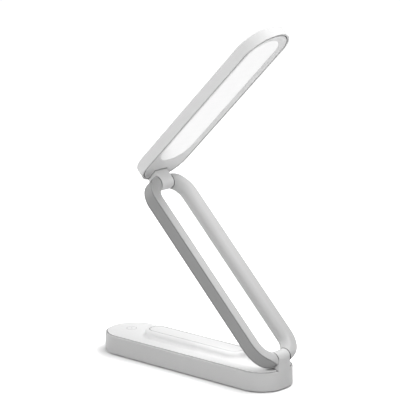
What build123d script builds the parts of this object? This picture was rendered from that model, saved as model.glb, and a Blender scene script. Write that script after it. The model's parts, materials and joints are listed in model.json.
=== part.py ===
from build123d import *
from math import cos, radians, sin
import os

# Folding desk lamp: a base, an open loop arm and a light head, three slim bars of one plan
# that fold flat on each other. Millimetres. +X points to the hinge end of the base, +Z up,
# and the origin is the centre of the underside that the lamp stands on.

# ---- the plan that the three bars share ----
bar_length = 230.0
bar_width = 60.0
end_flat = 6.0            # short straight piece in the middle of a hinge end
hinge_inset = 7.5         # from a bar's hinge end to its hinge axis

# ---- pose in which the lamp is modelled ----
arm_angle = 45.0          # arm, measured from folded flat on the base
head_angle = 90.0         # head, measured from folded flat on the arm

# ---- hinges ----
knuckle_width = 17.0
knuckle_gap = 1.0         # each side, between a knuckle and the arm's ears
fold_gap = 3.16           # between folded bars, from the arm to the base's lip and to the head's face
pin_radius = 2.0
pin_length = 28.0
pin_chamfer = 0.3
pin_fit = 0.05            # running clearance on the radius
press_fit = 0.02          # clearance on the radius of what is fixed
bearing_radius = 3.5      # outside of the bushes and clips
bush_length = 3.5
flange_radius = 4.6
flange_thickness = 0.8
clip_count = 3
clip_spacing = 0.3
clip_slot = 0.8
grub_radius = 1.25
grub_length = 1.6
facet_depth = 0.5         # flat along the underside of the head's knuckle

# ---- arm ----
arm_thickness = 15.0
nest_gap = 2.0            # between the arm's slot and the island that it folds over
arm_flat_core = 0.1       # what the two round edges leave flat inside the slot
arm_corner_round = 0.4
band_lip = 0.8            # of the leg, above and below the band let into it
band_thickness = 1.4
band_seam = 0.45
channel_height = 9.0
channel_depth = 6.0
tongue_depth = 1.8
tongue_gap = 0.15
ear_end = 17.0            # half width of the solid ears round the pins
lead_radius = 1.4
lead_turn = 40.0          # degrees that the lead follows each corner

# ---- head ----
head_thickness = 12.0
head_edge_round = 2.2
shell_wall = 1.8
shell_back = 1.8
bezel_gap = 0.8
bezel_rim = 1.2
bezel_thickness = 2.4
seat_width = 2.2          # ledge that the bezel sits on
dish_depth = 1.6          # how far the surround falls to the light field
window_side_margin = 9.0  # from the head's long sides to the light field
window_tip_margin = 11.5
window_hinge_margin = 30.0
window_end_flat = 2.0
diffuser_gap = 0.1
diffuser_flange = 2.5
diffuser_plate = 1.2
diffuser_drop = 0.1
tray_wall = 1.0
tray_floor = 0.6
board_thickness = 1.2
led_columns = 18
led_rows = 2
led_length = 3.5
led_width = 2.8
led_height = 0.8
led_end_margin = 12.6     # from the light field's ends and sides to the outer LEDs
led_side_margin = 11.0
led_hole_gap = 0.5
head_screw_columns = 8    # LED columns between two screws
head_boss_radius = 2.5
head_boss_sink = 0.9      # how far the bosses are sunk into the shell's back
boss_hole_gap = 0.2
head_screw_radius = 1.0
head_screw_length = 2.4
head_screw_head_radius = 1.9
head_screw_head = 0.9

# ---- base ----
foot_gap = 1.4            # shadow gap between the wall and the table
rim_height = 19.9
rim_round = 1.2
tub_wall = 2.2
lip_width = 1.4
deck_seat = 3.2           # how deep the deck's edge sits under the lip
seat_ring = 2.0
cover_thickness = 2.2
cover_rise = 0.2          # the cover lies this far above the wall's bottom edge
cover_gap = 0.2
mat_inset = 4.0
mat_thickness = 2.1
deck_gap = 0.5            # groove between the lip and the deck
deck_edge_rise = 0.8      # the deck's edge stands this far above the lip
deck_edge_round = 0.6
crown_run = 8.4
crown_rise = 1.0
crown_blend = 12.0
deck_skin = 2.2
deck_pocket_inset = 9.0
island_end_margin = 50.0
island_height = 6.7
island_fillet = 3.0
island_wall = 1.9
panel_border = 1.4
panel_depth = 1.2
panel_skin = 0.95         # left of the island's roof under the panel
panel_seam = 0.5
boss_radius = 3.2
boss_side_margin = 10.0
boss_free_margin = 55.0   # places of the three pairs of screws along the base
boss_middle_margin = 93.0
boss_hinge_margin = 27.0
screw_radius = 1.3
screw_length = 8.0
screw_tip_gap = 1.0
screw_head_radius = 2.6
screw_head = 1.1
cell_radius = 9.2
cell_length = 65.0
cell_edge_round = 0.8
cell_side_gap = 2.9
cell_top_gap = 0.3
holder_wall = 2.4
holder_gap = 0.3
holder_drop = 4.5         # from the cell's axis down to the holder's top
ballast_thickness = 6.0
ballast_inset = 5.0
ballast_length = 40.0
ballast_corner = 1.0
pcb_thickness = 1.2
pcb_post_height = 4.8
pcb_post_radius = 2.0
pcb_post_margin = 6.0
pcb_length = 44.0
pcb_side_gap = 0.6
pcb_hinge_margin = 57.0   # from the hinge end to the middle of the board
pcb_boss_gap = 0.8
pcb_part_height = 3.0
pcb_part_spacing = 16.0
coil_size = 7.0
chip_size = 5.0
capacitor_radius = 2.5
usb_width = 9.0
usb_height = 3.2
usb_length = 7.4
usb_shell = 0.3
usb_back = 1.0
usb_tongue_width = 6.5
usb_tongue_thickness = 0.7
usb_recess = 1.1          # from the wall's outside to the socket's mouth
usb_opening_gap = 0.25
usb_board_offset = 6.0    # from the middle of the board
light_pipe_radius = 1.0
light_pipe_offset = 11.0
light_pipe_length = 6.0
sensor_radius = 10.0
sensor_thickness = 0.4
sensor_margin = 26.0      # from the free end to the middle of the touch area

# ---- worked out from these ----
half_length = bar_length / 2
half_span = half_length - hinge_inset
knuckle_radius = hinge_inset
face_height = arm_thickness / 2 + fold_gap
hinge_height = rim_height + face_height
ear_inner = knuckle_width / 2 + knuckle_gap
leg_inset = band_thickness + band_seam
arm_round = (arm_thickness - arm_flat_core) / 2
island_width = 2 * (cell_radius + cell_side_gap + island_wall)
arm_depth = (bar_width - island_width) / 2 - nest_gap

window_length = bar_length - window_tip_margin - window_hinge_margin
window_width = bar_width - 2 * window_side_margin
window_middle = (window_tip_margin - window_hinge_margin) / 2

along = Vector(-cos(radians(arm_angle)), 0, sin(radians(arm_angle)))
above = Vector(sin(radians(arm_angle)), 0, cos(radians(arm_angle)))
hinge_a = Vector(half_span, 0, hinge_height)
hinge_b = hinge_a + along * (2 * half_span)
to_tip = above * sin(radians(head_angle)) - along * cos(radians(head_angle))
to_back = above * cos(radians(head_angle)) + along * sin(radians(head_angle))

# Each bar has a frame whose +X points to a hinge end, with the hinge axis at X = half_span, Z = 0.
# In the base and the head +Z points from the axis into the bar.
base_frame = Plane(origin=(0, 0, hinge_height), x_dir=(1, 0, 0), z_dir=(0, 0, -1))
arm_frame = Plane(origin=hinge_a + along * half_span, x_dir=along * -1, z_dir=above)
head_frame = Plane(origin=hinge_b + to_tip * half_span, x_dir=to_tip * -1, z_dir=to_back)

os.makedirs("parts", exist_ok=True)


# ---- shared profiles ----
def bar_outline(inset=0.0, length=bar_length, width=bar_width, flat=end_flat, middle=0.0, mode=Mode.ADD):
    """Plan of a bar: a half circle at its free end, -X, two rounded corners at its hinge end."""
    half = width / 2 - inset
    corner = (width - flat) / 2
    free_x = middle - length / 2 + width / 2
    hinge_x = middle + length / 2 - corner
    with BuildLine() as outline:
        Line((free_x, -half), (hinge_x, -half))
        CenterArc((hinge_x, -flat / 2), corner - inset, -90, 90)
        Line((hinge_x + corner - inset, -flat / 2), (hinge_x + corner - inset, flat / 2))
        CenterArc((hinge_x, flat / 2), corner - inset, 0, 90)
        Line((hinge_x, half), (free_x, half))
        CenterArc((free_x, 0), half, 90, 180)
    make_face(outline.edges(), mode=mode)


def loop_outline(inset, mode=Mode.ADD):
    """Plan of the arm, which has a hinge end at both ends."""
    corner = (bar_width - end_flat) / 2 - inset
    RectangleRounded(bar_length - 2 * inset, bar_width - 2 * inset, corner, mode=mode)


def side_plane(frame):
    """Plane through a bar's middle, seen from the side: X along the bar, Y away from the bar."""
    return Plane(origin=frame.origin, x_dir=frame.x_dir, z_dir=frame.y_dir)


def across_hinge(frame, radius, half_width, mode):
    """Round bar on the hinge axis, centred on the bar's middle."""
    with BuildSketch(side_plane(frame)) as section:
        with Locations((half_span, 0)):
            Circle(radius)
    extrude(section.sketch, amount=half_width, both=True, mode=mode)


def add_knuckle(frame, reach):
    """Knuckle of a bar: a barrel on the hinge axis that runs down flush with the bar's end."""
    with BuildSketch(side_plane(frame)) as section:
        with Locations((half_span, 0)):
            Circle(knuckle_radius)
        with Locations((half_span, -reach / 2)):
            Rectangle(2 * knuckle_radius, reach)
    extrude(section.sketch, amount=knuckle_width / 2, both=True)
    with BuildSketch(frame) as plan:
        bar_outline()
    extrude(plan.sketch, amount=2 * bar_width, both=True, mode=Mode.INTERSECT)


def bore_knuckle(frame):
    """Bore for the clips and bushes, with a recess for each flange."""
    across_hinge(frame, bearing_radius + press_fit, knuckle_width, Mode.SUBTRACT)
    for side in (-1, 1):
        face = side_plane(frame).offset(side * (knuckle_width / 2 - flange_thickness))
        with BuildSketch(face) as recess:
            with Locations((half_span, 0)):
                Circle(flange_radius + press_fit)
        extrude(recess.sketch, amount=side * (flange_thickness + knuckle_gap), mode=Mode.SUBTRACT)


def window_outline(grow=0.0, mode=Mode.ADD):
    """Plan of the light field, in the head's frame."""
    bar_outline(-grow, window_length, window_width, window_end_flat, window_middle, mode)


def save(piece, name):
    """Labels a finished piece and writes it."""
    piece.part.label = name
    export_step(piece.part, f"parts/{name}.step")


# ================= base =================
seat_height = rim_height - deck_seat
cover_bottom = foot_gap + cover_rise
cover_top = cover_bottom + cover_thickness
deck_edge = rim_height + deck_edge_rise
deck_inset = lip_width + deck_gap
deck_top = deck_edge + crown_rise
pocket_top = deck_top - deck_skin
island_length = bar_length - 2 * island_end_margin
island_top = deck_top + island_height
panel_inset = island_fillet + panel_border
panel_seat = island_top - panel_depth
island_roof = panel_seat - panel_skin
boss_rows = [
    boss_free_margin - half_length,
    half_length - boss_middle_margin,
    half_length - boss_hinge_margin,
]
boss_y = bar_width / 2 - boss_side_margin
boss_places = [(x, side * boss_y) for x in boss_rows for side in (-1, 1)]
pcb_centre = half_length - pcb_hinge_margin
pcb_bottom = cover_top + pcb_post_height
usb_centre = pcb_centre - usb_board_offset
usb_axis = pcb_bottom + pcb_thickness + usb_height / 2

with BuildPart() as base_tub:
    with BuildSketch(Plane.XY.offset(foot_gap)):
        bar_outline()
    extrude(amount=rim_height - foot_gap)
    fillet(base_tub.faces().sort_by(Axis.Z)[-1].edges(), rim_round)
    with BuildSketch(Plane.XY.offset(foot_gap)):
        bar_outline(tub_wall)
    extrude(amount=cover_top - foot_gap, mode=Mode.SUBTRACT)
    with BuildSketch(Plane.XY.offset(cover_top)):
        bar_outline(lip_width + seat_ring)
    extrude(amount=seat_height - cover_top, mode=Mode.SUBTRACT)
    with BuildSketch(Plane.XY.offset(seat_height)):
        bar_outline(lip_width)
    extrude(amount=deck_seat, mode=Mode.SUBTRACT)
    add_knuckle(base_frame, hinge_height - cover_top)
    bore_knuckle(base_frame)
    # mouth of the charging socket and the light beside it, in the far wall
    with BuildSketch(Plane.XZ.offset(-bar_width)):
        with Locations((usb_centre, usb_axis)):
            SlotOverall(usb_width + 2 * usb_opening_gap, usb_height + 2 * usb_opening_gap)
        with Locations((usb_centre + light_pipe_offset, usb_axis)):
            Circle(light_pipe_radius + press_fit)
    extrude(amount=bar_width, mode=Mode.SUBTRACT)
save(base_tub, "base_tub")

with BuildPart() as base_deck:
    # edge that stands inside the lip, and the crown over it
    with BuildSketch(Plane.XY.offset(seat_height)):
        bar_outline(deck_inset)
    extrude(amount=deck_edge - seat_height)
    with BuildSketch(Plane.XY.offset(deck_edge)):
        bar_outline(deck_inset)
    with BuildSketch(Plane.XY.offset(deck_top)):
        bar_outline(deck_inset + crown_run)
    loft(ruled=True)
    crown_edges = base_deck.faces().sort_by(Axis.Z)[-1].edges()
    fillet(crown_edges, crown_blend)
    rim_edges = base_deck.edges().filter_by_position(Axis.Z, deck_edge - 0.01, deck_edge + 0.01)
    fillet(rim_edges, deck_edge_round)
    # raised island, with a round shoulder and a hollow root
    with BuildSketch(Plane.XY.offset(deck_top)):
        SlotOverall(island_length, island_width)
    extrude(amount=island_height)
    island_edges = base_deck.faces().sort_by(Axis.Z)[-1].edges()
    fillet(island_edges, island_fillet)
    root_edges = base_deck.edges().filter_by_position(Axis.Z, deck_top - 0.01, deck_top + 0.01)
    root_edges = root_edges.filter_by(lambda edge: abs(edge.center().Y) < island_width / 2 + 0.1)
    root_edges = root_edges.filter_by(lambda edge: abs(edge.center().X) < island_length / 2 + 0.1)
    fillet(root_edges, island_fillet)
    # seat of the inlaid panel
    with BuildSketch(Plane.XY.offset(panel_seat)):
        SlotOverall(island_length - 2 * panel_inset, island_width - 2 * panel_inset)
    extrude(amount=panel_depth, mode=Mode.SUBTRACT)
    # hollow underside
    with BuildSketch(Plane.XY.offset(seat_height)):
        bar_outline(deck_pocket_inset)
    extrude(amount=pocket_top - seat_height, mode=Mode.SUBTRACT)
    with BuildSketch(Plane.XY.offset(seat_height)):
        SlotOverall(island_length - 2 * island_wall, island_width - 2 * island_wall)
    extrude(amount=island_roof - seat_height, mode=Mode.SUBTRACT)
    # screw bosses down to the cover
    with BuildSketch(Plane.XY.offset(cover_top)):
        with Locations(*boss_places):
            Circle(boss_radius)
    extrude(amount=pocket_top - cover_top)
    with BuildSketch(Plane.XY.offset(cover_top)):
        with Locations(*boss_places):
            Circle(screw_radius + press_fit)
    extrude(amount=screw_length, mode=Mode.SUBTRACT)
    # notch round the knuckle
    with BuildSketch(Plane.XY.offset(cover_top)):
        with Locations((half_length, 0)):
            Rectangle(2 * (2 * knuckle_radius + deck_gap), knuckle_width + 2 * deck_gap)
    extrude(amount=island_top, mode=Mode.SUBTRACT)
save(base_deck, "base_deck")

with BuildPart() as island_panel:
    inset = panel_inset + panel_seam
    with BuildSketch(Plane.XY.offset(panel_seat)):
        SlotOverall(island_length - 2 * inset, island_width - 2 * inset)
    extrude(amount=panel_depth)
save(island_panel, "island_panel")

with BuildPart() as bottom_cover:
    with BuildSketch(Plane.XY.offset(cover_bottom)):
        bar_outline(tub_wall + cover_gap)
    extrude(amount=cover_thickness)
    with BuildSketch(Plane.XY):
        bar_outline(mat_inset - cover_gap)
    extrude(amount=mat_thickness, mode=Mode.SUBTRACT)
    with BuildSketch(Plane.XY.offset(mat_thickness)):
        with Locations(*boss_places):
            Circle(screw_head_radius + cover_gap)
    extrude(amount=screw_head, mode=Mode.SUBTRACT)
    with BuildSketch(Plane.XY.offset(mat_thickness)):
        with Locations(*boss_places):
            Circle(screw_radius + press_fit)
    extrude(amount=cover_thickness, mode=Mode.SUBTRACT)
save(bottom_cover, "bottom_cover")

with BuildPart() as foot_mat:
    with BuildSketch(Plane.XY):
        bar_outline(mat_inset)
    extrude(amount=mat_thickness)
save(foot_mat, "foot_mat")

with BuildPart() as base_screws:
    with BuildSketch(Plane.XY.offset(mat_thickness)):
        with Locations(*boss_places):
            Circle(screw_head_radius)
    extrude(amount=screw_head)
    with BuildSketch(Plane.XY.offset(mat_thickness + screw_head)):
        with Locations(*boss_places):
            Circle(screw_radius)
    extrude(amount=screw_length - screw_tip_gap)
save(base_screws, "base_screws")

cell_axis = island_roof - cell_top_gap - cell_radius
ballast_end = ballast_inset + ballast_length - half_length
cell_centre = (ballast_end + pcb_centre - pcb_length / 2) / 2

with BuildPart() as battery_cell:
    with BuildSketch(Plane.YZ.offset(cell_centre - cell_length / 2)):
        with Locations((0, cell_axis)):
            Circle(cell_radius)
    extrude(amount=cell_length)
    fillet(battery_cell.edges(), cell_edge_round)
save(battery_cell, "battery_cell")

with BuildPart() as battery_holder:
    outer_length = cell_length + 2 * (holder_gap + holder_wall)
    with BuildSketch(Plane.XY.offset(cover_top)):
        with Locations((cell_centre, 0)):
            Rectangle(outer_length, 2 * (cell_radius + holder_gap))
    extrude(amount=cell_axis - holder_drop - cover_top)
    with BuildSketch(Plane.YZ.offset(cell_centre - cell_length / 2 - holder_gap)):
        with Locations((0, cell_axis)):
            Circle(cell_radius + holder_gap)
    extrude(amount=cell_length + 2 * holder_gap, mode=Mode.SUBTRACT)
save(battery_holder, "battery_holder")

with BuildPart() as ballast_plate:
    with BuildSketch(Plane.XY.offset(cover_top)):
        bar_outline(ballast_inset)
        with Locations((ballast_end + half_length, 0)):
            Rectangle(bar_length, bar_width, mode=Mode.SUBTRACT)
    extrude(amount=ballast_thickness)
    fillet(ballast_plate.edges().filter_by(Axis.Z), ballast_corner)
save(ballast_plate, "ballast_plate")

with BuildPart() as control_board:
    board_width = bar_width - 2 * (lip_width + seat_ring + pcb_side_gap)
    with BuildSketch(Plane.XY.offset(pcb_bottom)):
        with Locations((pcb_centre, 0)):
            Rectangle(pcb_length, board_width)
        with Locations(*boss_places):
            Circle(boss_radius + pcb_boss_gap, mode=Mode.SUBTRACT)
    extrude(amount=pcb_thickness)
    # two posts that stand on the cover
    with BuildSketch(Plane.XY.offset(cover_top)):
        with Locations((pcb_centre, 0)):
            with GridLocations(pcb_length - 2 * pcb_post_margin, 0, 2, 1):
                Circle(pcb_post_radius)
    extrude(amount=pcb_post_height)
    # coil, charge chip and two capacitors
    with BuildSketch(Plane.XY.offset(pcb_bottom + pcb_thickness)):
        with Locations((pcb_centre + pcb_part_spacing / 2, -pcb_part_spacing / 2)):
            Rectangle(coil_size, coil_size)
        with Locations((pcb_centre + pcb_part_spacing / 2, pcb_part_spacing / 2)):
            Rectangle(chip_size, chip_size)
        with Locations((pcb_centre - pcb_part_spacing / 2, 0)):
            with GridLocations(0, pcb_part_spacing / 2, 1, 2):
                Circle(capacitor_radius)
    extrude(amount=pcb_part_height)
save(control_board, "control_board")

with BuildPart() as usb_c_socket:
    # this plane's normal points into the base
    mouth_centre = (usb_centre, bar_width / 2 - usb_recess, usb_axis)
    mouth = Plane(origin=mouth_centre, x_dir=(1, 0, 0), z_dir=(0, -1, 0))
    with BuildSketch(mouth):
        SlotOverall(usb_width, usb_height)
    extrude(amount=usb_length)
    with BuildSketch(mouth):
        SlotOverall(usb_width - 2 * usb_shell, usb_height - 2 * usb_shell)
    extrude(amount=usb_length - usb_back, mode=Mode.SUBTRACT)
    with BuildSketch(mouth.offset(usb_back)):
        Rectangle(usb_tongue_width, usb_tongue_thickness)
    extrude(amount=usb_length - usb_back)
save(usb_c_socket, "usb_c_socket")

with BuildPart() as charge_light_pipe:
    with BuildSketch(Plane.XZ.offset(-bar_width / 2)):
        with Locations((usb_centre + light_pipe_offset, usb_axis)):
            Circle(light_pipe_radius)
    extrude(amount=light_pipe_length)
save(charge_light_pipe, "charge_light_pipe")

with BuildPart() as touch_sensor:
    with BuildSketch(Plane.XY.offset(pocket_top - sensor_thickness)):
        with Locations((sensor_margin - half_length, 0)):
            Circle(sensor_radius)
    extrude(amount=sensor_thickness)
save(touch_sensor, "touch_sensor")


# ================= hinges =================
def make_bushes(frame, name):
    """Two flanged bushes, one in each side of a knuckle."""
    with BuildPart() as bushes:
        for side in (-1, 1):
            outside = side_plane(frame).offset(side * knuckle_width / 2)
            for radius, depth in ((flange_radius, flange_thickness), (bearing_radius, bush_length)):
                with BuildSketch(outside):
                    with Locations((half_span, 0)):
                        Circle(radius)
                extrude(amount=-side * depth)
        across_hinge(frame, pin_radius + pin_fit, knuckle_width, Mode.SUBTRACT)
    save(bushes, name)


def make_clips(frame, name):
    """Spring clips that grip the pin between the bushes and hold the hinge where it is put."""
    room = knuckle_width - 2 * bush_length
    clip_width = (room - (clip_count + 1) * clip_spacing) / clip_count
    with BuildPart() as clips:
        for index in range(clip_count):
            start = -room / 2 + clip_spacing + index * (clip_width + clip_spacing)
            with BuildSketch(side_plane(frame).offset(start)):
                with Locations((half_span, 0)):
                    Circle(bearing_radius)
                    Circle(pin_radius + pin_fit, mode=Mode.SUBTRACT)
                with Locations((half_span, -bearing_radius)):
                    Rectangle(clip_slot, 2 * bearing_radius, mode=Mode.SUBTRACT)
            extrude(amount=clip_width)
    save(clips, name)


def make_pin(frame, name):
    """Steel axle, fixed in both ears of the arm."""
    with BuildPart() as pin:
        across_hinge(frame, pin_radius, pin_length / 2, Mode.ADD)
        chamfer(pin.edges(), pin_chamfer)
    save(pin, name)


for letter, frame in (("a", base_frame), ("b", head_frame)):
    make_bushes(frame, f"hinge_{letter}_bushes")
    make_clips(frame, f"hinge_{letter}_clips")
    make_pin(frame, f"hinge_{letter}_pin")

# ================= arm =================
arm_side = side_plane(arm_frame)


def leg_channel(first_inset, last_inset, height, ends, mode):
    """Channel, or what fills it, along the outer side of the loop, short of the ears."""
    with BuildSketch(arm_frame) as plan:
        loop_outline(first_inset)
        loop_outline(last_inset, Mode.SUBTRACT)
        Rectangle(bar_length, 2 * ends, mode=Mode.SUBTRACT)
    extrude(plan.sketch, amount=height / 2, both=True, mode=mode)


grub_y = (ear_inner + pin_length / 2) / 2


def ear_plane(end):
    """Plane across one hinge axis of the arm, facing out of that end, with X along the axis."""
    origin = arm_frame.origin + arm_frame.x_dir * (end * half_span)
    return Plane(origin=origin, x_dir=arm_frame.y_dir, z_dir=arm_frame.x_dir * end)


def side_profile(inset, mode):
    """The arm seen from the side, with its ends round about the hinge axes."""
    with BuildSketch(arm_side) as profile:
        SlotOverall(bar_length - 2 * inset, arm_thickness - 2 * inset)
    extrude(profile.sketch, amount=bar_width, both=True, mode=mode)


def loop_flats(part):
    """Lowest and highest flat face of a loop."""
    flats = part.faces().filter_by(arm_frame).sort_by(Axis(arm_frame.origin, arm_frame.z_dir))
    return flats[0], flats[-1]


def keep_side(side):
    """Keeps the half of the loop on one side of the knuckles."""
    split(bisect_by=Plane.XZ.offset(-side * ear_inner), keep=Keep.TOP if side < 0 else Keep.BOTTOM)


def make_leg(side, name):
    """Half of the loop: a leg with a round inner side, a recess for its band and an ear at each end."""
    with BuildPart() as recess:
        with BuildSketch(arm_frame):
            loop_outline(-band_lip)
            loop_outline(leg_inset, Mode.SUBTRACT)
        extrude(amount=arm_thickness / 2, both=True)
        side_profile(band_lip, Mode.INTERSECT)
    with BuildPart() as leg:
        with BuildSketch(arm_frame):
            loop_outline(0)
            loop_outline(arm_depth, Mode.SUBTRACT)
        extrude(amount=arm_thickness / 2, both=True)
        fillet([edge for flat in loop_flats(leg) for edge in flat.outer_wire().edges()], arm_corner_round)
        fillet([edge for flat in loop_flats(leg) for edge in flat.inner_wires()[0].edges()], arm_round)
        side_profile(0, Mode.INTERSECT)
        add(recess.part, mode=Mode.SUBTRACT)
        leg_channel(0, leg_inset + channel_depth, channel_height, ear_end, Mode.SUBTRACT)
        with BuildSketch(arm_side):
            with Locations((-half_span, 0), (half_span, 0)):
                Circle(pin_radius + press_fit)
        extrude(amount=pin_length / 2 + press_fit, both=True, mode=Mode.SUBTRACT)
        for end in (-1, 1):
            with BuildSketch(ear_plane(end)):
                with Locations((side * grub_y, 0)):
                    Circle(grub_radius + press_fit)
            extrude(amount=hinge_inset, mode=Mode.SUBTRACT)
        keep_side(side)
    save(leg, name)


def make_band(side, name):
    """Strip let into the outer side of a leg, with a tongue in the channel's mouth."""
    with BuildPart() as band:
        with BuildSketch(arm_frame):
            loop_outline(0)
            loop_outline(band_thickness, Mode.SUBTRACT)
        extrude(amount=arm_thickness / 2, both=True)
        side_profile(band_lip + band_seam, Mode.INTERSECT)
        tongue_height = channel_height - 2 * tongue_gap
        leg_channel(
            band_thickness, band_thickness + tongue_depth, tongue_height, ear_end + tongue_gap, Mode.ADD
        )
        keep_side(side)
    save(band, name)


for side, word in ((-1, "near"), (1, "far")):
    make_leg(side, f"arm_leg_{word}")
    make_band(side, f"arm_band_{word}")

with BuildPart() as hinge_set_screws:
    for end in (-1, 1):
        with BuildSketch(ear_plane(end).offset(pin_radius)):
            with Locations((-grub_y, 0), (grub_y, 0)):
                Circle(grub_radius)
        extrude(amount=grub_length)
save(hinge_set_screws, "hinge_set_screws")

with BuildPart() as arm_lead:
    lead_inset = leg_inset + channel_depth - lead_radius - press_fit
    lead_corner = (bar_width - end_flat) / 2
    lead_y = -bar_width / 2 + lead_inset
    straight = half_length - lead_corner
    turn = lead_corner - lead_inset
    with BuildLine(arm_frame) as lead_path:
        CenterArc((-straight, -end_flat / 2), turn, 270 - lead_turn, lead_turn)
        Line((-straight, lead_y), (straight, lead_y))
        CenterArc((straight, -end_flat / 2), turn, 270, lead_turn)
    with BuildSketch(lead_path.line ^ 0):
        Circle(lead_radius)
    sweep(path=lead_path.line)
save(arm_lead, "arm_lead")

# ================= head =================
seat_level = face_height + bezel_thickness
back_level = face_height + head_thickness
board_back = back_level - shell_back
tray_floor_level = board_back - board_thickness - tray_floor
led_pitch = (window_length - 2 * led_end_margin) / (led_columns - 1)
led_row_spacing = (window_width - 2 * led_side_margin) / (led_rows - 1)
head_screw_pitch = head_screw_columns * led_pitch
head_screw_places = [(window_middle + step * head_screw_pitch, 0) for step in (-1, 0, 1)]

with BuildPart() as head_shell:
    with BuildSketch(head_frame.offset(face_height)):
        bar_outline()
    extrude(amount=head_thickness)
    back_face = head_shell.faces().sort_by(Axis(head_frame.origin, head_frame.z_dir))[-1]
    fillet(back_face.edges(), head_edge_round)
    with BuildSketch(head_frame.offset(face_height)):
        bar_outline(shell_wall)
    extrude(amount=bezel_thickness, mode=Mode.SUBTRACT)
    with BuildSketch(head_frame.offset(seat_level)):
        bar_outline(shell_wall + seat_width)
    extrude(amount=board_back - seat_level, mode=Mode.SUBTRACT)
    with BuildSketch(head_frame.offset(tray_floor_level + tray_floor)):
        with Locations(*head_screw_places):
            Circle(head_boss_radius)
    extrude(amount=board_thickness + head_boss_sink)
    with BuildSketch(head_frame.offset(tray_floor_level)):
        with Locations(*head_screw_places):
            Circle(head_screw_radius + press_fit)
    extrude(amount=tray_floor + head_screw_length, mode=Mode.SUBTRACT)
    add_knuckle(head_frame, board_back)
    bore_knuckle(head_frame)
    with BuildSketch(side_plane(head_frame)):
        with Locations((half_span, 2 * knuckle_radius - facet_depth)):
            Rectangle(4 * knuckle_radius, 2 * knuckle_radius)
    extrude(amount=knuckle_width, both=True, mode=Mode.SUBTRACT)
save(head_shell, "head_shell")

with BuildPart() as head_bezel:
    with BuildSketch(head_frame.offset(face_height)):
        bar_outline(shell_wall + bezel_gap)
    extrude(amount=bezel_thickness)
    # sloped surround, from the rim down to the light field
    with BuildSketch(head_frame.offset(face_height)):
        bar_outline(shell_wall + bezel_gap + bezel_rim)
    with BuildSketch(head_frame.offset(face_height + dish_depth)):
        window_outline()
    loft(ruled=True, mode=Mode.SUBTRACT)
    with BuildSketch(head_frame.offset(face_height)):
        window_outline()
    extrude(amount=bezel_thickness, mode=Mode.SUBTRACT)
    with BuildSketch(head_frame):
        with Locations((half_length, 0)):
            Rectangle(2 * (2 * knuckle_radius + bezel_gap), knuckle_width + 2 * bezel_gap)
    extrude(amount=back_level, mode=Mode.SUBTRACT)
save(head_bezel, "head_bezel")

with BuildPart() as diffuser:
    with BuildSketch(head_frame.offset(seat_level)):
        window_outline(diffuser_flange)
    extrude(amount=diffuser_plate)
    with BuildSketch(head_frame.offset(face_height + dish_depth + diffuser_drop)):
        window_outline(-diffuser_gap)
    extrude(amount=bezel_thickness - dish_depth - diffuser_drop)
save(diffuser, "diffuser")

with BuildPart() as reflector_tray:
    tray_front = seat_level + diffuser_plate
    tray_depth = tray_floor_level + tray_floor - tray_front
    with BuildSketch(head_frame.offset(tray_front)):
        window_outline(diffuser_flange)
    extrude(amount=tray_depth)
    with BuildSketch(head_frame.offset(tray_front)):
        window_outline(diffuser_flange - tray_wall)
    extrude(amount=tray_depth - tray_floor, mode=Mode.SUBTRACT)
    with BuildSketch(head_frame.offset(tray_floor_level)):
        with Locations((window_middle, 0)):
            with GridLocations(led_pitch, led_row_spacing, led_columns, led_rows):
                Rectangle(led_length + 2 * led_hole_gap, led_width + 2 * led_hole_gap)
        with Locations(*head_screw_places):
            Circle(head_screw_radius + boss_hole_gap)
    extrude(amount=tray_floor, mode=Mode.SUBTRACT)
save(reflector_tray, "reflector_tray")

with BuildPart() as led_board:
    with BuildSketch(head_frame.offset(board_back - board_thickness)):
        window_outline(diffuser_flange - tray_wall)
        with Locations(*head_screw_places):
            Circle(head_boss_radius + boss_hole_gap, mode=Mode.SUBTRACT)
    extrude(amount=board_thickness)
save(led_board, "led_board")

with BuildPart() as leds:
    with BuildSketch(head_frame.offset(board_back - board_thickness - led_height)):
        with Locations((window_middle, 0)):
            with GridLocations(led_pitch, led_row_spacing, led_columns, led_rows):
                Rectangle(led_length, led_width)
    extrude(amount=led_height)
save(leds, "leds")

with BuildPart() as head_screws:
    with BuildSketch(head_frame.offset(tray_floor_level - head_screw_head)):
        with Locations(*head_screw_places):
            Circle(head_screw_head_radius)
    extrude(amount=head_screw_head)
    with BuildSketch(head_frame.offset(tray_floor_level)):
        with Locations(*head_screw_places):
            Circle(head_screw_radius)
    extrude(amount=head_screw_length)
save(head_screws, "head_screws")
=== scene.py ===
"""Folding desk lamp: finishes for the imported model, its small fittings, and a plain white studio."""
import json
from math import cos, pi, radians, sin

import bmesh
import bpy
from bpy.props import FloatProperty, FloatVectorProperty, IntProperty, PointerProperty
from bpy.types import Operator, Panel, PropertyGroup
from mathutils import Euler, Matrix, Vector


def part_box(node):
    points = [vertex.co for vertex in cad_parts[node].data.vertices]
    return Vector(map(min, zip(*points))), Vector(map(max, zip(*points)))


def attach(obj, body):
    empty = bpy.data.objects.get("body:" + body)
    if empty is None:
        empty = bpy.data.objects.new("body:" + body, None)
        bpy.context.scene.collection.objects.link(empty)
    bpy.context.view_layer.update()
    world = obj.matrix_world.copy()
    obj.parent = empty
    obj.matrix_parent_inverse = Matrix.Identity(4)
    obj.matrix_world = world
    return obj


bl_info = {
    "name": "Folding desk lamp",
    "version": (1, 0, 0),
    "blender": (4, 5, 0),
    "location": "3D View > Sidebar > Desk Lamp",
    "description": "Finishes, small fittings and studio of the folding desk lamp",
    "category": "Object",
}

MM = 0.001
DECK_SKIN = 2.2 * MM  # plastic over the touch sensor
TONGUE_RECESS = 1.4 * MM  # from the charging socket's mouth back to its contacts
TONGUE_HALF = 0.36 * MM  # from the middle of the socket's tongue out to its contacts
CONTACT_PLATE = 0.06 * MM
CONTACT_BEVEL = 0.015 * MM

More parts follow.
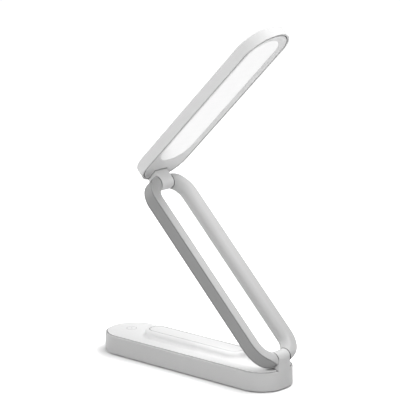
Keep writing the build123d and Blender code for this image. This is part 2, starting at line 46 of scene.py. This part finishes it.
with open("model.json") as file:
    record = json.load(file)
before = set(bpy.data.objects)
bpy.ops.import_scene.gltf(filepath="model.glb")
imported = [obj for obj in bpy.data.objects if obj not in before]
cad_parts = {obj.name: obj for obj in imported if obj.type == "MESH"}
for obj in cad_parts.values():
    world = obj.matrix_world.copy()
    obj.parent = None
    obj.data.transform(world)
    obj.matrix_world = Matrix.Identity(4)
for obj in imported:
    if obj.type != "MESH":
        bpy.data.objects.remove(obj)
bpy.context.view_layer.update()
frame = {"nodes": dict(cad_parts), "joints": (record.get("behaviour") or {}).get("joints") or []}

hinges = {joint["name"]: Vector(joint["pos_m"]) for joint in frame["joints"]}
arm_way = (hinges["head_hinge"] - hinges["arm_hinge"]).normalized()
head_way = Vector((arm_way.z, 0, -arm_way.x))
sensor_low, sensor_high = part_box("touch_sensor")
socket_low, socket_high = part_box("usb_c_socket")


def linear(hex_colour):
    """Linear red, green, blue from an sRGB hex colour."""
    channels = [int(hex_colour[i : i + 2], 16) / 255 for i in (0, 2, 4)]
    return [c / 12.92 if c <= 0.04045 else ((c + 0.055) / 1.055) ** 2.4 for c in channels]


def colour_property(name, description, hex_colour):
    return FloatVectorProperty(
        name=name, description=description, subtype="COLOR", size=3, min=0, max=1, default=linear(hex_colour)
    )


class CaseFinish(PropertyGroup):
    """Colours and sheen of the moulded case, and the shade painted into its seams and corners."""

    wall_colour: colour_property("Base wall", "Colour of the base's wall", "C8C8C8")
    deck_colour: colour_property("Deck", "Colour of the base's top and its island", "E9E9E9")
    band_colour: colour_property("Arm bands", "Colour of the strips round the outside of the arm", "939393")
    arm_colour: colour_property("Arm", "Colour of the arm's two legs", "B7B7B7")
    head_colour: colour_property("Head", "Colour of the head's shell", "DFDFDF")
    surround_colour: colour_property("Surround", "Colour of the slope round the light field", "EAEAEA")
    foot_colour: colour_property("Foot mat", "Colour of the mat that the lamp stands on", "3A3A3A")
    grain_size: FloatProperty(
        name="Grain", description="Size of the moulded grain", default=0.8 * MM, unit="LENGTH", precision=5
    )
    # the seam settings below paint shade into the case's colour wherever another surface is near
    seam_reach: FloatProperty(
        name="Seam reach", description="How far a surface looks for another one that shades it",
        default=3.0 * MM, unit="LENGTH", precision=5,
    )
    seam_open: FloatProperty(
        name="Seam open", description="Openness above which the plastic keeps its colour", default=0.75, min=0, max=1
    )
    seam_closed: FloatProperty(
        name="Seam closed", description="Openness below which the plastic is darkest", default=0.4, min=0, max=1
    )
    seam_shade: FloatProperty(name="Seam shade", description="Lightness inside the seams", default=0.15, min=0, max=1)
    grain_depth: FloatProperty(
        name="Grain depth", description="Depth of the moulded grain", default=0.004 * MM, unit="LENGTH", precision=6
    )


class LightField(PropertyGroup):
    """The light field and the LEDs behind it."""

    colour: colour_property("Lit colour", "Colour of the lit field between two LEDs", "FBFBFB")
    spot_colour: colour_property("LED colour", "Colour of the lit field in front of an LED", "FEFEFE")
    milk_colour: colour_property("Unlit colour", "Colour of the opal sheet without its light", "9A9A9A")
    brightness: FloatProperty(name="Brightness", description="Brightness of the field as seen", default=0.5, min=0)
    beam: FloatProperty(name="Beam", description="Brightness of the light sent straight ahead", default=2.0, min=0)
    glow: FloatProperty(name="Glow", description="Brightness of the light sent to all sides", default=2.6, min=0)
    middle: FloatProperty(
        name="Middle", description="From the head's hinge to the middle of the field",
        default=116.75 * MM, unit="LENGTH",
    )
    length: FloatProperty(name="Length", description="Length of the field", default=188.5 * MM, unit="LENGTH")
    width: FloatProperty(name="Width", description="Width of the field", default=42 * MM, unit="LENGTH")
    end_margin: FloatProperty(
        name="End margin", description="Dimmer part at each end of the field", default=9 * MM, unit="LENGTH"
    )
    side_margin: FloatProperty(
        name="Side margin", description="Dimmer part along each side of the field", default=6 * MM, unit="LENGTH"
    )
    face: FloatProperty(
        name="Depth", description="From the hinge axis down to the field's face", default=12.3 * MM, unit="LENGTH"
    )
    led_pitch: FloatProperty(
        name="LED pitch", description="Spacing of the LEDs along the field", default=9.606 * MM, unit="LENGTH"
    )
    row_pitch: FloatProperty(
        name="Row pitch", description="Spacing of the two rows of LEDs", default=20 * MM, unit="LENGTH"
    )


class TouchMark(PropertyGroup):
    """Ring printed over the touch sensor."""

    radius: FloatProperty(name="Radius", description="Outside of the ring", default=5.5 * MM, unit="LENGTH")
    line: FloatProperty(name="Line", description="Width of the printed line", default=0.5 * MM, unit="LENGTH")
    ink: FloatProperty(
        name="Ink", description="Thickness of the print", default=0.02 * MM, unit="LENGTH", precision=6
    )
    colour: colour_property("Ink colour", "Colour of the print", "B9B9B9")


class SocketContacts(PropertyGroup):
    """Contact strips on the tongue of the charging socket."""

    count: IntProperty(name="Count", description="Contacts on one side of the tongue", default=12, min=1)
    pitch: FloatProperty(name="Pitch", description="Spacing of the contacts", default=0.5 * MM, unit="LENGTH")
    width: FloatProperty(name="Width", description="Width of a contact", default=0.26 * MM, unit="LENGTH")
    length: FloatProperty(name="Length", description="Length of a contact", default=4.2 * MM, unit="LENGTH")


class Studio(PropertyGroup):
    """Camera, lamps and floor."""

    camera_place: FloatVectorProperty(
        name="Camera", description="Place of the camera", subtype="TRANSLATION", size=3,
        default=(1.3110, -1.4839, 0.6364),
    )
    camera_tilt: FloatProperty(
        name="Tilt", description="Tilt of the camera, 90 degrees when level", default=radians(76.791), unit="ROTATION"
    )
    camera_turn: FloatProperty(
        name="Turn", description="Turn of the camera about the vertical", default=radians(41.347), unit="ROTATION"
    )
    camera_lens: FloatProperty(name="Lens", description="Focal length", default=184.69, unit="CAMERA")
    room_light: FloatProperty(name="Room", description="Even light from all round", default=0.0, min=0)
    front_light: FloatProperty(name="Front lamp", description="Low beside the camera", default=0.58, min=0)
    left_light: FloatProperty(name="Left lamp", description="Low on the left", default=0.44, min=0)
    right_light: FloatProperty(name="Right lamp", description="High on the right", default=0.44, min=0)
    far_light: FloatProperty(name="Far lamp", description="High on the right, farther back", default=0.4, min=0)
    back_light: FloatProperty(name="Back lamp", description="Behind the lamp", default=0.32, min=0)
    lamp_distance: FloatProperty(
        name="Distance", description="From the lamps to the object", default=1.3, unit="LENGTH"
    )
    lamp_size: FloatProperty(name="Softbox", description="Width of each softbox", default=0.8, unit="LENGTH")
    bounce_colour: colour_property("Floor bounce", "Floor as the lamp's underside sees it", "D0D0D0")
    floor_size: FloatProperty(name="Floor", description="Width of the floor", default=30.0, unit="LENGTH")
    foot_reach: FloatProperty(
        name="Foot", description="From the lamp's middle to the middle of its foot's round ends",
        default=85 * MM, unit="LENGTH",
    )
    shadow_start: FloatProperty(
        name="Shadow start", description="From the foot's middle line to where its shadow begins to fade",
        default=28 * MM, unit="LENGTH",
    )
    shadow_end: FloatProperty(
        name="Shadow end", description="From the foot's middle line to where its shadow is gone",
        default=75 * MM, unit="LENGTH",
    )


# ---- materials ----
def add_node(tree, kind, inputs=None, **settings):
    """Adds a node with its settings. An input is a value, or an output socket that is linked to it."""
    item = tree.nodes.new(kind)
    for name, value in settings.items():
        setattr(item, name, value)
    for socket, value in (inputs or {}).items():
        if isinstance(value, bpy.types.NodeSocket):
            tree.links.new(value, item.inputs[socket])
        else:
            item.inputs[socket].default_value = value
    return item


def start_material(name, values):
    """Starts a material. Returns it, its nodes, its shader and the place on the piece."""
    material = bpy.data.materials.new(name)
    material.use_nodes = True
    tree = material.node_tree
    shader = tree.nodes["Principled BSDF"]
    for socket, value in values.items():
        shader.inputs[socket].default_value = value
    place = add_node(tree, "ShaderNodeTexCoord").outputs["Object"]
    return material, tree, shader, place


def opaque(colour, shade=1.0):
    """Colour with its alpha, made lighter or darker by shade."""
    return (*[min(1.0, c * shade) for c in colour], 1.0)


def mottle(tree, shader, place, colour, size, spread, roughness, roughness_spread):
    """Lets the colour and the sheen wander a little, over patches of this size."""
    cloud = add_node(
        tree, "ShaderNodeTexNoise", {"Vector": place, "Scale": 1 / size, "Detail": 3.0, "Roughness": 0.55}
    ).outputs["Fac"]
    mix = add_node(
        tree, "ShaderNodeMix",
        {0: cloud, 6: opaque(colour, 1 - spread), 7: opaque(colour, 1 + spread)}, data_type="RGBA",
    )
    tree.links.new(mix.outputs[2], shader.inputs["Base Color"])
    sheen = add_node(
        tree, "ShaderNodeMapRange",
        {"Value": cloud, "To Min": roughness - roughness_spread, "To Max": roughness + roughness_spread},
    )
    tree.links.new(sheen.outputs["Result"], shader.inputs["Roughness"])
    return cloud


def relief(tree, shader, height, depth):
    """Raises the surface by a height from 0 to 1 times depth."""
    bump = add_node(tree, "ShaderNodeBump", {"Height": height, "Distance": depth, "Strength": 1.0})
    tree.links.new(bump.outputs["Normal"], shader.inputs["Normal"])


def spark_textured_abs(name, colour, roughness, finish):
    """ABS moulded in a spark-eroded tool: an even matt grain that spreads and dulls the highlights, a faint wander of
    sheen where the plastic flowed, and painted shade that darkens the colour wherever another surface is near, so that
    the seams, gaps and corners read as thin dark lines."""
    material, tree, shader, place = start_material(name, {"IOR": 1.54, "Specular IOR Level": 0.25})
    mottle(tree, shader, place, colour, 45 * MM, 0.012, roughness, 0.04)
    plain = shader.inputs["Base Color"].links[0].from_socket
    # painted shade: where the ambient occlusion finds another surface within seam_reach, the colour is mixed towards
    # its seam_shade lightness
    open_air = add_node(
        tree, "ShaderNodeAmbientOcclusion", {"Distance": finish.seam_reach}, samples=8
    ).outputs["AO"]
    painted_crease_shade = add_node(
        tree, "ShaderNodeMapRange",
        {"Value": open_air, "From Min": finish.seam_closed, "From Max": finish.seam_open, "To Min": 1.0, "To Max": 0.0},
    ).outputs["Result"]
    crease_shaded_colour = add_node(
        tree, "ShaderNodeMix", {0: painted_crease_shade, 6: plain, 7: opaque(colour, finish.seam_shade)}, data_type="RGBA"
    )
    tree.links.new(crease_shaded_colour.outputs[2], shader.inputs["Base Color"])
    grain = add_node(
        tree, "ShaderNodeTexNoise", {"Vector": place, "Scale": 1 / finish.grain_size, "Detail": 2.0}
    ).outputs["Fac"]
    relief(tree, shader, grain, finish.grain_depth)
    return material


def opal_acrylic(name, field):
    """Opal acrylic, extruded and lit from behind: milky all through, with soft spots in front of the LEDs."""
    material, tree, shader, place = start_material(
        name,
        {
            "IOR": 1.49, "Roughness": 0.35,
            "Emission Strength": field.brightness, "Base Color": opaque(field.milk_colour),
        },
    )
    along = add_node(tree, "ShaderNodeVectorMath", {0: place, 1: head_way}, operation="DOT_PRODUCT").outputs["Value"]
    across = add_node(tree, "ShaderNodeSeparateXYZ", {0: place}).outputs["Y"]
    start = hinges["head_hinge"].dot(head_way) + field.middle
    shifted = add_node(tree, "ShaderNodeMath", {0: along, 1: start}, operation="SUBTRACT").outputs[0]
    columns = add_node(tree, "ShaderNodeMath", {0: shifted, 1: 2 * pi / field.led_pitch}, operation="MULTIPLY")
    rows = add_node(tree, "ShaderNodeMath", {0: across, 1: 2 * pi / field.row_pitch}, operation="MULTIPLY")
    column_wave = add_node(tree, "ShaderNodeMath", {0: columns.outputs[0]}, operation="COSINE").outputs[0]
    row_wave = add_node(tree, "ShaderNodeMath", {0: rows.outputs[0]}, operation="COSINE").outputs[0]
    waves = add_node(tree, "ShaderNodeMath", {0: column_wave, 1: row_wave}, operation="ADD").outputs[0]
    spots = add_node(
        tree, "ShaderNodeMapRange", {"Value": waves, "From Min": 2.0, "From Max": -2.0}
    ).outputs["Result"]
    glow = add_node(
        tree, "ShaderNodeMix", {0: spots, 6: opaque(field.colour), 7: opaque(field.spot_colour)}, data_type="RGBA"
    )
    tree.links.new(glow.outputs[2], shader.inputs["Emission Color"])
    frost = add_node(tree, "ShaderNodeTexNoise", {"Vector": place, "Scale": 1 / (0.6 * MM), "Detail": 2.0})
    relief(tree, shader, frost.outputs["Fac"], 0.003 * MM)
    return material


def silicone_rubber(name, colour, stud_pitch):
    """Moulded silicone: matt, soft-edged studs that grip the table."""
    material, tree, shader, place = start_material(name, {"IOR": 1.41})
    mottle(tree, shader, place, colour, 20 * MM, 0.08, 0.75, 0.05)
    studs = add_node(
        tree, "ShaderNodeTexVoronoi", {"Vector": place, "Scale": 1 / stud_pitch, "Randomness": 0.0}
    ).outputs["Distance"]
    dome = add_node(
        tree, "ShaderNodeMapRange", {"Value": studs, "From Min": 0.42, "From Max": 0.25},
        interpolation_type="SMOOTHSTEP",
    ).outputs["Result"]
    relief(tree, shader, dome, 0.25 * MM)
    return material


def acetal(name, colour):
    """Moulded acetal, the slippery plastic of small bearings: waxy and smooth, hardly any grain."""
    material, tree, shader, place = start_material(name, {"IOR": 1.48})
    cloud = mottle(tree, shader, place, colour, 6 * MM, 0.02, 0.42, 0.05)
    relief(tree, shader, cloud, 0.01 * MM)
    return material


def plated_steel(name, colour, roughness, patch):
    """Zinc or nickel plate on pressed steel: bright grey, with cloudy patches from the plating bath."""
    material, tree, shader, place = start_material(name, {"Metallic": 1.0})
    cloud = mottle(tree, shader, place, colour, patch, 0.06, roughness, 0.07)
    relief(tree, shader, cloud, 0.004 * MM)
    return material


def ground_steel(name, colour, roughness, stretch):
    """Ground or drawn steel: fine parallel scratches that pull the highlights out across them."""
    material, tree, shader, place = start_material(name, {"Metallic": 1.0})
    drawn = add_node(tree, "ShaderNodeMapping", {"Vector": place, "Scale": stretch}).outputs["Vector"]
    scratches = add_node(
        tree, "ShaderNodeTexNoise", {"Vector": drawn, "Scale": 1 / (0.12 * MM), "Detail": 3.0}
    ).outputs["Fac"]
    mottle(tree, shader, drawn, colour, 1.5 * MM, 0.05, roughness, 0.06)
    relief(tree, shader, scratches, 0.002 * MM)
    return material


def circuit_board(name, mask, trace, track_pitch):
    """Glass-epoxy board under solder mask: glossy, with copper tracks that show as paler raised lines."""
    material, tree, shader, place = start_material(name, {"IOR": 1.52, "Coat Weight": 0.3, "Coat Roughness": 0.1})
    net = add_node(
        tree, "ShaderNodeTexVoronoi", {"Vector": place, "Scale": 1 / track_pitch, "Randomness": 0.85},
        feature="F1", distance="CHEBYCHEV",
    )
    edge = add_node(
        tree, "ShaderNodeMapRange", {"Value": net.outputs["Distance"], "From Min": 0.30, "From Max": 0.36},
    ).outputs["Result"]
    paint = add_node(tree, "ShaderNodeMix", {0: edge, 6: opaque(mask), 7: opaque(trace)}, data_type="RGBA")
    tree.links.new(paint.outputs[2], shader.inputs["Base Color"])
    sheen = add_node(tree, "ShaderNodeMapRange", {"Value": edge, "To Min": 0.30, "To Max": 0.40})
    tree.links.new(sheen.outputs["Result"], shader.inputs["Roughness"])
    relief(tree, shader, edge, 0.03 * MM)
    return material


def shrunk_sleeve(name, colour):
    """PVC sleeve shrunk on a cell: glossy, with shallow lengthwise wrinkles."""
    material, tree, shader, place = start_material(name, {"IOR": 1.53})
    pulled = add_node(tree, "ShaderNodeMapping", {"Vector": place, "Scale": (0.15, 1.0, 1.0)}).outputs["Vector"]
    wrinkles = add_node(
        tree, "ShaderNodeTexNoise", {"Vector": pulled, "Scale": 1 / (3 * MM), "Detail": 2.0}
    ).outputs["Fac"]
    mottle(tree, shader, pulled, colour, 8 * MM, 0.06, 0.28, 0.05)
    relief(tree, shader, wrinkles, 0.06 * MM)
    return material


def phosphor(name, colour, rim):
    """Phosphor in silicone over the chips: matt yellow, flecked with a paler yellow."""
    material, tree, shader, place = start_material(name, {"IOR": 1.41})
    speck = add_node(
        tree, "ShaderNodeTexNoise", {"Vector": place, "Scale": 1 / (0.4 * MM), "Detail": 3.0}
    ).outputs["Fac"]
    paint = add_node(tree, "ShaderNodeMix", {0: speck, 6: opaque(colour), 7: opaque(rim)}, data_type="RGBA")
    tree.links.new(paint.outputs[2], shader.inputs["Base Color"])
    sheen = add_node(tree, "ShaderNodeMapRange", {"Value": speck, "To Min": 0.45, "To Max": 0.6})
    tree.links.new(sheen.outputs["Result"], shader.inputs["Roughness"])
    relief(tree, shader, speck, 0.01 * MM)
    return material


def shown_rays(tree):
    """1 for rays that show the stage to the camera, straight or in gloss, and 0 for those that light the lamp."""
    rays = add_node(tree, "ShaderNodeLightPath").outputs
    mirrored = add_node(
        tree, "ShaderNodeMath", {0: rays["Is Glossy Ray"], 1: rays["Is Transmission Ray"]}, operation="MAXIMUM"
    ).outputs[0]
    return add_node(tree, "ShaderNodeMath", {0: rays["Is Camera Ray"], 1: mirrored}, operation="MAXIMUM").outputs[0]


def paint_nodes(material, *names):
    """Gives CAD nodes this material."""
    for name in names:
        for slot in frame["nodes"][name].material_slots:
            slot.material = material


# ---- small fittings ----
def finish_mesh(mesh_data, name, body, material):
    """Turns mesh data into a piece that moves with a body of the lamp."""
    mesh = bpy.data.meshes.new(name)
    mesh_data.to_mesh(mesh)
    mesh_data.free()
    mesh.materials.append(material)
    piece = bpy.data.objects.new(name, mesh)
    bpy.context.scene.collection.objects.link(piece)
    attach(piece, body)
    return piece


def add_printed_ring(mesh_data, centre, inner, outer, height, steps=96):
    """Adds a flat ring with a little thickness."""
    loops = []
    for radius, level in ((inner, 0), (inner, height), (outer, height), (outer, 0)):
        loops.append([
            mesh_data.verts.new(centre + Vector((radius * cos(turn), radius * sin(turn), level)))
            for turn in (2 * pi * step / steps for step in range(steps))
        ])
    for lower, upper in zip(loops, loops[1:]):
        for step in range(steps):
            after = (step + 1) % steps
            mesh_data.faces.new((lower[step], lower[after], upper[after], upper[step]))


def add_strip(mesh_data, centre, size, edge):
    """Adds a flat strip with bevelled edges."""
    made = bmesh.ops.create_cube(mesh_data, size=1, matrix=Matrix.LocRotScale(centre, None, Vector(size)))
    edges = list({side for corner in made["verts"] for side in corner.link_edges})
    bmesh.ops.bevel(mesh_data, geom=edges, offset=edge, segments=2, profile=0.5, affect="EDGES")


class DESK_LAMP_OT_case(Operator):
    """Finish the moulded case: base, arm and head"""

    bl_idname = "desk_lamp.case"
    bl_label = "Case"

    def execute(self, context):
        finish = context.scene.desk_lamp_case
        paint_nodes(spark_textured_abs("abs_grey_wall", finish.wall_colour, 0.5, finish), "base_tub")
        paint_nodes(spark_textured_abs("abs_white_deck", finish.deck_colour, 0.5, finish), "base_deck", "island_panel")
        paint_nodes(
            spark_textured_abs("abs_satin_bands", finish.band_colour, 0.38, finish), "arm_band_near", "arm_band_far"
        )
        paint_nodes(spark_textured_abs("abs_arm_legs", finish.arm_colour, 0.38, finish), "arm_leg_near", "arm_leg_far")
        paint_nodes(spark_textured_abs("abs_head_shell", finish.head_colour, 0.58, finish), "head_shell")
        paint_nodes(spark_textured_abs("abs_surround", finish.surround_colour, 0.45, finish), "head_bezel")
        paint_nodes(spark_textured_abs("abs_cover", linear("8C8C8C"), 0.55, finish), "bottom_cover")
        paint_nodes(silicone_rubber("silicone_foot_mat", finish.foot_colour, 3 * MM), "foot_mat")
        return {"FINISHED"}


class DESK_LAMP_OT_hinges(Operator):
    """Finish the pins, clips, bushes and screws"""

    bl_idname = "desk_lamp.hinges"
    bl_label = "Hinges and screws"

    def execute(self, context):
        turned = ground_steel("steel_turned_pin", linear("C9CACC"), 0.24, (1.0, 0.08, 1.0))
        paint_nodes(turned, "hinge_a_pin", "hinge_b_pin")
        spring = ground_steel("spring_steel_clip", linear("9A9C9F"), 0.34, (1.0, 0.2, 1.0))
        paint_nodes(spring, "hinge_a_clips", "hinge_b_clips")
        paint_nodes(acetal("acetal_bush", linear("EDEDE8")), "hinge_a_bushes", "hinge_b_bushes")
        zinc = plated_steel("zinc_plated_screw", linear("B7BABD"), 0.34, 1.5 * MM)
        paint_nodes(zinc, "base_screws", "head_screws", "hinge_set_screws")
        paint_nodes(plated_steel("zinc_plated_ballast", linear("A9ACAF"), 0.42, 9 * MM), "ballast_plate")
        return {"FINISHED"}


class DESK_LAMP_OT_light_field(Operator):
    """Finish and light the light field, with the LEDs behind it"""

    bl_idname = "desk_lamp.light_field"
    bl_label = "Light field"

    def execute(self, context):
        field = context.scene.desk_lamp_field
        paint_nodes(opal_acrylic("opal_acrylic_lit", field), "diffuser")
        finish = context.scene.desk_lamp_case
        paint_nodes(spark_textured_abs("white_reflector", linear("F2F2F0"), 0.30, finish), "reflector_tray")
        paint_nodes(circuit_board("white_mask_board", linear("EFEFEC"), linear("E2E2DE"), 4 * MM), "led_board")
        paint_nodes(phosphor("led_phosphor", linear("E9D24A"), linear("F3E9B0")), "leds")
        centre = hinges["head_hinge"] + head_way * field.middle + arm_way * (field.face - 0.3 * MM)
        facing = Matrix((head_way, Vector((0, 1, 0)), arm_way)).transposed().to_quaternion()
        for name, strength, spread in (("field_beam", field.beam, 120), ("field_glow", field.glow, 180)):
            light = bpy.data.lights.new(name, "AREA")
            light.shape = "RECTANGLE"
            light.size = field.length - 2 * field.end_margin
            light.size_y = field.width - 2 * field.side_margin
            light.energy = strength * pi * light.size * light.size_y
            light.spread = radians(spread)
            lamp = bpy.data.objects.new(name, light)
            context.scene.collection.objects.link(lamp)
            lamp.matrix_world = Matrix.LocRotScale(centre, facing, None)
            lamp.visible_camera = False
            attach(lamp, "head")
        return {"FINISHED"}


class DESK_LAMP_OT_electronics(Operator):
    """Finish the battery, board, socket and lead"""

    bl_idname = "desk_lamp.electronics"
    bl_label = "Electronics"

    def execute(self, context):
        finish = context.scene.desk_lamp_case
        paint_nodes(shrunk_sleeve("pvc_sleeve", linear("3E6A8C")), "battery_cell")
        paint_nodes(spark_textured_abs("abs_black_holder", linear("2A2A2B"), 0.5, finish), "battery_holder")
        paint_nodes(circuit_board("green_mask_board", linear("1E5B3A"), linear("2F7A50"), 3 * MM), "control_board")
        paint_nodes(plated_steel("nickel_plated_socket", linear("C4C2BC"), 0.28, 2 * MM), "usb_c_socket")
        paint_nodes(plated_steel("copper_foil_pad", linear("C98B62"), 0.36, 4 * MM), "touch_sensor")
        paint_nodes(silicone_rubber("rubber_lead", linear("E4E4E2"), 0.9 * MM), "arm_lead")
        paint_nodes(acetal("clear_light_pipe", linear("E6EAE8")), "charge_light_pipe")
        return {"FINISHED"}


class DESK_LAMP_OT_socket_contacts(Operator):
    """Add the contacts on the charging socket's tongue"""

    bl_idname = "desk_lamp.socket_contacts"
    bl_label = "Socket contacts"

    def execute(self, context):
        contacts = context.scene.desk_lamp_contacts
        gold = plated_steel("gold_plated_contact", linear("D9B45A"), 0.25, 1 * MM)
        middle = (socket_low + socket_high) / 2
        strips = bmesh.new()
        for side in (-1, 1):
            for index in range(contacts.count):
                place = Vector((
                    middle.x + (index - (contacts.count - 1) / 2) * contacts.pitch,
                    socket_high.y - TONGUE_RECESS - contacts.length / 2,
                    middle.z + side * TONGUE_HALF,
                ))
                add_strip(strips, place, (contacts.width, contacts.length, CONTACT_PLATE), CONTACT_BEVEL)
        finish_mesh(strips, "socket_contacts", "base", gold)
        return {"FINISHED"}


class DESK_LAMP_OT_touch_mark(Operator):
    """Add the ring printed over the touch sensor"""

    bl_idname = "desk_lamp.touch_mark"
    bl_label = "Touch mark"

    def execute(self, context):
        mark = context.scene.desk_lamp_mark
        finish = context.scene.desk_lamp_case
        middle = (sensor_low + sensor_high) / 2
        # the deck is flat here, one skin above the sensor
        level = sensor_high.z + DECK_SKIN
        print_mesh = bmesh.new()
        centre = Vector((middle.x, middle.y, level))
        add_printed_ring(print_mesh, centre, mark.radius - mark.line, mark.radius, mark.ink)
        add_printed_ring(print_mesh, centre, 0.2 * mark.line, 2 * mark.line, mark.ink)
        ink = spark_textured_abs("pad_printed_ink", mark.colour, 0.5, finish)
        finish_mesh(print_mesh, "touch_mark", "base", ink)
        return {"FINISHED"}


class DESK_LAMP_OT_studio(Operator):
    """Set up the white floor, the white room, the softboxes and the camera"""

    bl_idname = "desk_lamp.studio"
    bl_label = "Studio"

    def execute(self, context):
        studio = context.scene.desk_lamp_studio
        self.add_floor(context, studio)
        self.light_room(context, studio)
        aim = Vector((0.02, 0, 0.15))
        # name, turn about the vertical from +X, height above the floor, strength
        for name, turn, height, strength in (
            ("front_softbox", -59, 24, studio.front_light),
            ("left_softbox", -159, 24, studio.left_light),
            ("right_softbox", 21, 62, studio.right_light),
            ("far_softbox", 61, 62, studio.far_light),
            ("back_softbox", 101, 42, studio.back_light),
        ):
            way = Euler((0, radians(-height), radians(turn))).to_matrix() @ Vector((1, 0, 0))
            self.add_softbox(context, name, aim + way * studio.lamp_distance, aim, studio.lamp_size, strength)
        camera = bpy.data.cameras.new("camera")
        camera.lens = studio.camera_lens
        camera.sensor_width = 36
        holder = bpy.data.objects.new("camera", camera)
        holder.location = studio.camera_place
        holder.rotation_euler = (studio.camera_tilt, 0, studio.camera_turn)
        context.scene.collection.objects.link(holder)
        context.scene.camera = holder
        context.scene.view_settings.view_transform = "Standard"
        return {"FINISHED"}

    def add_floor(self, context, studio):
        """Matt white floor that takes the lamp's shadow and fades into the background."""
        half = studio.floor_size / 2
        mesh = bpy.data.meshes.new("floor")
        corners = [(-half, -half, 0), (half, -half, 0), (half, half, 0), (-half, half, 0)]
        mesh.from_pydata(corners, [], [(0, 1, 2, 3)])
        floor = bpy.data.objects.new("floor", mesh)
        context.scene.collection.objects.link(floor)
        material, tree, shader, place = start_material(
            "white_paper_floor",
            {"Roughness": 0.9, "Specular IOR Level": 0.0, "Emission Color": (1, 1, 1, 1)},
        )
        shown = shown_rays(tree)
        paper = add_node(
            tree, "ShaderNodeMix", {0: shown, 6: opaque(studio.bounce_colour), 7: opaque(linear("F4F4F4"))},
            data_type="RGBA",
        )
        tree.links.new(paper.outputs[2], shader.inputs["Base Color"])
        # distance from the base's foot, whose outline is a long stadium
        axes = add_node(tree, "ShaderNodeSeparateXYZ", {0: place}).outputs
        reach = add_node(tree, "ShaderNodeMath", {0: axes["X"]}, operation="ABSOLUTE").outputs[0]
        beyond = add_node(tree, "ShaderNodeMath", {0: reach, 1: studio.foot_reach}, operation="SUBTRACT").outputs[0]
        past_end = add_node(tree, "ShaderNodeMath", {0: beyond, 1: 0}, operation="MAXIMUM").outputs[0]
        offset = add_node(tree, "ShaderNodeCombineXYZ", {"X": past_end, "Y": axes["Y"]}).outputs[0]
        distance = add_node(tree, "ShaderNodeVectorMath", {0: offset}, operation="LENGTH").outputs["Value"]
        # the glow that the camera and reflections see fades in away from the foot: it paints out the lamp's shadows
        # there with white, and its ramp paints a soft falloff round the real contact shadow near the foot
        fade = add_node(
            tree, "ShaderNodeMapRange",
            {
                "Value": distance, "From Min": studio.shadow_start, "From Max": studio.shadow_end,
                "To Min": 0.05, "To Max": 1.0,
            },
        ).outputs["Result"]
        lift = add_node(tree, "ShaderNodeMath", {0: shown, 1: fade}, operation="MULTIPLY").outputs[0]
        tree.links.new(lift, shader.inputs["Emission Strength"])
        mesh.materials.append(material)

    def light_room(self, context, studio):
        """Even light on the lamp, and plain white where the camera or a reflection sees the room."""
        world = bpy.data.worlds.new("white_room")
        context.scene.world = world
        world.use_nodes = True
        tree = world.node_tree
        strength = add_node(
            tree, "ShaderNodeMapRange", {"Value": shown_rays(tree), "To Min": studio.room_light, "To Max": 1.0}
        ).outputs["Result"]
        tree.links.new(strength, tree.nodes["Background"].inputs["Strength"])
        tree.nodes["Background"].inputs["Color"].default_value = (1, 1, 1, 1)

    def add_softbox(self, context, name, place, aim, size, strength):
        """Square soft lamp. A strength of 1 lights a surface at the aim point as brightly as it is coloured."""
        light = bpy.data.lights.new(name, "AREA")
        light.shape = "SQUARE"
        light.size = size
        away = place - aim
        light.energy = strength * pi * pi * away.length_squared
        lamp = bpy.data.objects.new(name, light)
        context.scene.collection.objects.link(lamp)
        lamp.matrix_world = Matrix.LocRotScale(place, away.to_track_quat("Z", "Y"), None)
        lamp.visible_camera = False


class DESK_LAMP_PT_pieces(Panel):
    """Lists the pieces that can be added and their sizes and colours"""

    bl_idname = "DESK_LAMP_PT_pieces"
    bl_label = "Folding desk lamp"
    bl_space_type = "VIEW_3D"
    bl_region_type = "UI"
    bl_category = "Desk Lamp"

    def draw(self, context):
        for operator in OPERATORS:
            self.layout.operator(operator.bl_idname)
        for group, attribute in GROUPS.items():
            box = self.layout.box()
            settings = getattr(context.scene, attribute)
            for name in group.__annotations__:
                box.prop(settings, name)


GROUPS = {
    CaseFinish: "desk_lamp_case",
    LightField: "desk_lamp_field",
    TouchMark: "desk_lamp_mark",
    SocketContacts: "desk_lamp_contacts",
    Studio: "desk_lamp_studio",
}
OPERATORS = (
    DESK_LAMP_OT_studio,
    DESK_LAMP_OT_case,
    DESK_LAMP_OT_hinges,
    DESK_LAMP_OT_light_field,
    DESK_LAMP_OT_electronics,
    DESK_LAMP_OT_socket_contacts,
    DESK_LAMP_OT_touch_mark,
)


def register():
    for group, attribute in GROUPS.items():
        bpy.utils.register_class(group)
        setattr(bpy.types.Scene, attribute, PointerProperty(type=group))
    for item in (*OPERATORS, DESK_LAMP_PT_pieces):
        bpy.utils.register_class(item)


def unregister():
    for item in reversed((*OPERATORS, DESK_LAMP_PT_pieces)):
        bpy.utils.unregister_class(item)
    for group, attribute in reversed(list(GROUPS.items())):
        delattr(bpy.types.Scene, attribute)
        bpy.utils.unregister_class(group)


def main():
    register()
    bpy.ops.desk_lamp.studio()
    bpy.ops.desk_lamp.case()
    bpy.ops.desk_lamp.hinges()
    bpy.ops.desk_lamp.light_field()
    bpy.ops.desk_lamp.electronics()
    bpy.ops.desk_lamp.socket_contacts()
    bpy.ops.desk_lamp.touch_mark()


if __name__ == "__main__":
    main()
